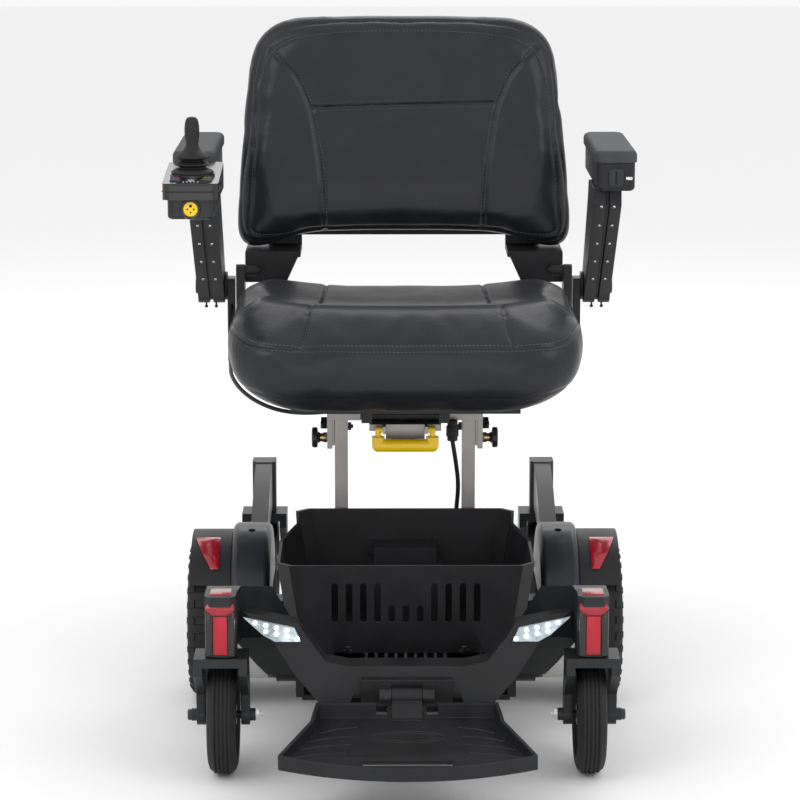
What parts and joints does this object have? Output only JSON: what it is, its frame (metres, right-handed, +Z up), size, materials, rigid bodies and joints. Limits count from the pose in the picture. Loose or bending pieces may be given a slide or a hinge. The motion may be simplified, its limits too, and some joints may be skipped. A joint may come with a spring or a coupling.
{
  "type": "power wheelchair",
  "caption": "Mid-wheel-drive power wheelchair with swivel seat, fold-down backrest, sliding flip-up armrests, joystick controller, storage tub and flip-up footplate.",
  "frame": {"origin": "middle of the footprint, on the floor under the wheels", "axes": "+Z up; the seated user faces -Y, so the user's left is +X"},
  "size_m": [0.621, 1.123, 0.9113],
  "materials": {
    "frame_paint": "satin black powder coat",
    "battery_plastic": "moulded battery case",
    "cast_alloy": "bare sand-textured casting",
    "black_plastic": "fine-grained moulded plastic",
    "motor_paint": "gloss black paint",
    "cover_grey": "smooth dark grey plastic",
    "red_gloss": "metallic red gloss",
    "arm_paint": "satin black castings",
    "lens": "clear headlight lens",
    "post_steel": "grey-brown satin steel",
    "cable_jacket": "smooth black jacket",
    "yellow_grip": "gloss yellow sleeve",
    "upholstery": "black leatherette with stitched seams",
    "back_plastic": "moulded back shell",
    "gloss_case": "semi-gloss black",
    "yellow_socket": "yellow insert in a black ring",
    "boot_rubber": "matte rubber",
    "brass_fitting": "turned brass",
    "tyre_rubber": "grooved black tyre",
    "wheel_plastic": "black moulded wheel",
    "arm_plastic": "grained black plastic",
    "pad_skin": "pebbled soft pad skin",
    "button_grey": "soft-touch key"
  },
  "bodies": {
    "chassis": {"base_frame": "frame_paint", "battery_packs": "battery_plastic", "power_module": "cast_alloy", "battery_cover": "black_plastic", "drive_motors": "motor_paint", "gearboxes": "cast_alloy", "motor_covers": "cover_grey", "fenders": "black_plastic", "fender_trims": "red_gloss", "rear_arms": "arm_paint", "front_tub": "black_plastic", "front_shroud": "black_plastic", "headlight_lenses": "lens", "footplate_bracket": "frame_paint", "seat_posts": "post_steel", "seat_cable": "cable_jacket", "cable_plug": "black_plastic"},
    "drive_wheel_left": {"drive_tyre_left": "tyre_rubber", "drive_rim_left": "wheel_plastic"},
    "drive_wheel_right": {"drive_tyre_right": "tyre_rubber", "drive_rim_right": "wheel_plastic"},
    "front_arm_left_body": {"front_arm_left": "arm_paint"},
    "front_swivel_left": {"front_fork_left": "arm_paint"},
    "front_wheel_left": {"front_caster_wheel_left": "tyre_rubber"},
    "rear_swivel_left": {"rear_fork_left": "arm_paint"},
    "rear_wheel_left": {"rear_caster_wheel_left": "tyre_rubber"},
    "front_arm_right_body": {"front_arm_right": "arm_paint"},
    "front_swivel_right": {"front_fork_right": "arm_paint"},
    "front_wheel_right": {"front_caster_wheel_right": "tyre_rubber"},
    "rear_swivel_right": {"rear_fork_right": "arm_paint"},
    "rear_wheel_right": {"rear_caster_wheel_right": "tyre_rubber"},
    "footplate_body": {"footplate": "black_plastic"},
    "seat_lift": {"seat_bracket": "post_steel"},
    "plunger_left_body": {"plunger_left": "brass_fitting"},
    "plunger_right_body": {"plunger_right": "brass_fitting"},
    "release": {"release_handle": "yellow_grip"},
    "seat": {"swivel_plate": "frame_paint", "seat_frame": "frame_paint", "seat_cushion": "upholstery", "controller_lead": "cable_jacket"},
    "back": {"backrest_shell": "back_plastic", "backrest_cushion": "upholstery"},
    "arm_slide_left": {"arm_slider_left": "frame_paint"},
    "arm_left": {"arm_post_left": "arm_plastic", "pad_base_left": "arm_plastic", "arm_pad_left": "pad_skin"},
    "arm_slide_right": {"arm_slider_right": "frame_paint"},
    "arm_right": {"arm_post_right": "arm_plastic", "pad_base_right": "arm_plastic", "arm_pad_right": "pad_skin", "controller_case": "gloss_case", "controller_housing": "black_plastic", "charge_socket": "yellow_socket", "joystick_boot": "boot_rubber"},
    "stick_gimbal": {"joystick_gimbal": "brass_fitting"},
    "stick": {"joystick_knob": "boot_rubber"},
    "button_horn_body": {"button_horn": "button_grey"},
    "button_speed_body": {"button_speed": "button_grey"},
    "button_power_body": {"button_power": "button_grey"},
    "button_lights_body": {"button_lights": "button_grey"}
  },
  "joints": [
    {"name": "drive_wheel_left_spin", "type": "hinge", "parent": "chassis", "child": "drive_wheel_left", "pos_m": [0.2653, 0.038, 0.11], "axis": [1, 0, 0], "continuous": true},
    {"name": "drive_wheel_right_spin", "type": "hinge", "parent": "chassis", "child": "drive_wheel_right", "pos_m": [-0.2653, 0.038, 0.11], "axis": [1, 0, 0], "continuous": true},
    {"name": "front_suspension_left", "type": "hinge", "parent": "chassis", "child": "front_arm_left_body", "pos_m": [0.157, -0.168, 0.096], "axis": [1, 0, 0], "range_deg": [-2.5, 4.8], "stiffness_Nm_per_rad": 1500},
    {"name": "front_caster_left_swivel", "type": "hinge", "parent": "front_arm_left_body", "child": "front_swivel_left", "pos_m": [0.232, -0.346, 0.2], "axis": [0, 0, 1], "continuous": true},
    {"name": "front_caster_left_roll", "type": "hinge", "parent": "front_swivel_left", "child": "front_wheel_left", "pos_m": [0.232, -0.308, 0.075], "axis": [1, 0, 0], "continuous": true},
    {"name": "rear_caster_left_swivel", "type": "hinge", "parent": "chassis", "child": "rear_swivel_left", "pos_m": [0.208, 0.448, 0.2], "axis": [0, 0, 1], "continuous": true},
    {"name": "rear_caster_left_roll", "type": "hinge", "parent": "rear_swivel_left", "child": "rear_wheel_left", "pos_m": [0.208, 0.486, 0.075], "axis": [1, 0, 0], "continuous": true},
    {"name": "front_suspension_right", "type": "hinge", "parent": "chassis", "child": "front_arm_right_body", "pos_m": [-0.157, -0.168, 0.096], "axis": [1, 0, 0], "range_deg": [-2.5, 4.8], "stiffness_Nm_per_rad": 1500},
    {"name": "front_caster_right_swivel", "type": "hinge", "parent": "front_arm_right_body", "child": "front_swivel_right", "pos_m": [-0.232, -0.346, 0.2], "axis": [0, 0, 1], "continuous": true},
    {"name": "front_caster_right_roll", "type": "hinge", "parent": "front_swivel_right", "child": "front_wheel_right", "pos_m": [-0.232, -0.308, 0.075], "axis": [1, 0, 0], "continuous": true},
    {"name": "rear_caster_right_swivel", "type": "hinge", "parent": "chassis", "child": "rear_swivel_right", "pos_m": [-0.208, 0.448, 0.2], "axis": [0, 0, 1], "continuous": true},
    {"name": "rear_caster_right_roll", "type": "hinge", "parent": "rear_swivel_right", "child": "rear_wheel_right", "pos_m": [-0.208, 0.486, 0.075], "axis": [1, 0, 0], "continuous": true},
    {"name": "footplate_flip", "type": "hinge", "parent": "chassis", "child": "footplate_body", "pos_m": [0, -0.372, 0.117], "axis": [1, 0, 0], "range_deg": [-90, 0]},
    {"name": "seat_lift_off", "type": "slide", "parent": "chassis", "child": "seat_lift", "axis": [0, 0, 1], "range_m": [0, 0.025]},
    {"name": "plunger_left_pull", "type": "slide", "parent": "seat_lift", "child": "plunger_left_body", "axis": [1, 0, 0], "range_m": [0, 0.008], "stiffness_N_per_m": 1500},
    {"name": "plunger_right_pull", "type": "slide", "parent": "seat_lift", "child": "plunger_right_body", "axis": [-1, 0, 0], "range_m": [0, 0.008], "stiffness_N_per_m": 1500},
    {"name": "release_pull", "type": "hinge", "parent": "seat_lift", "child": "release", "pos_m": [0, -0.064, 0.393], "axis": [1, 0, 0], "range_deg": [-20, 0], "stiffness_Nm_per_rad": 2},
    {"name": "seat_swivel", "type": "hinge", "parent": "seat_lift", "child": "seat", "pos_m": [0, 0.038, 0.4], "axis": [0, 0, 1], "range_deg": [-90, 90]},
    {"name": "backrest_fold", "type": "hinge", "parent": "seat", "child": "back", "pos_m": [0, 0.214, 0.565], "axis": [1, 0, 0], "range_deg": [0, 85]},
    {"name": "armrest_left_width", "type": "slide", "parent": "seat", "child": "arm_slide_left", "axis": [1, 0, 0], "range_m": [0, 0.05]},
    {"name": "armrest_left_flip", "type": "hinge", "parent": "arm_slide_left", "child": "arm_left", "pos_m": [0.27, 0.232, 0.541], "axis": [1, 0, 0], "range_deg": [-90, 0]},
    {"name": "armrest_right_width", "type": "slide", "parent": "seat", "child": "arm_slide_right", "axis": [-1, 0, 0], "range_m": [0, 0.05]},
    {"name": "armrest_right_flip", "type": "hinge", "parent": "arm_slide_right", "child": "arm_right", "pos_m": [-0.27, 0.232, 0.541], "axis": [1, 0, 0], "range_deg": [-90, 0]},
    {"name": "joystick_side", "type": "hinge", "parent": "arm_right", "child": "stick_gimbal", "pos_m": [-0.276, -0.097, 0.731], "axis": [0, 1, 0], "range_deg": [-18, 18], "stiffness_Nm_per_rad": 0.6, "deforming": ["joystick_boot"]},
    {"name": "joystick_fore", "type": "hinge", "parent": "stick_gimbal", "child": "stick", "pos_m": [-0.276, -0.097, 0.731], "axis": [1, 0, 0], "range_deg": [-18, 18], "stiffness_Nm_per_rad": 0.6, "deforming": ["joystick_boot"]},
    {"name": "button_horn_press", "type": "slide", "parent": "arm_right", "child": "button_horn_body", "axis": [0, 0, -1], "range_m": [0, 0.001], "stiffness_N_per_m": 900},
    {"name": "button_speed_press", "type": "slide", "parent": "arm_right", "child": "button_speed_body", "axis": [0, 0, -1], "range_m": [0, 0.001], "stiffness_N_per_m": 900},
    {"name": "button_power_press", "type": "slide", "parent": "arm_right", "child": "button_power_body", "axis": [0, 0, -1], "range_m": [0, 0.001], "stiffness_N_per_m": 900},
    {"name": "button_lights_press", "type": "slide", "parent": "arm_right", "child": "button_lights_body", "axis": [0, 0, -1], "range_m": [0, 0.001], "stiffness_N_per_m": 900}
  ]
}
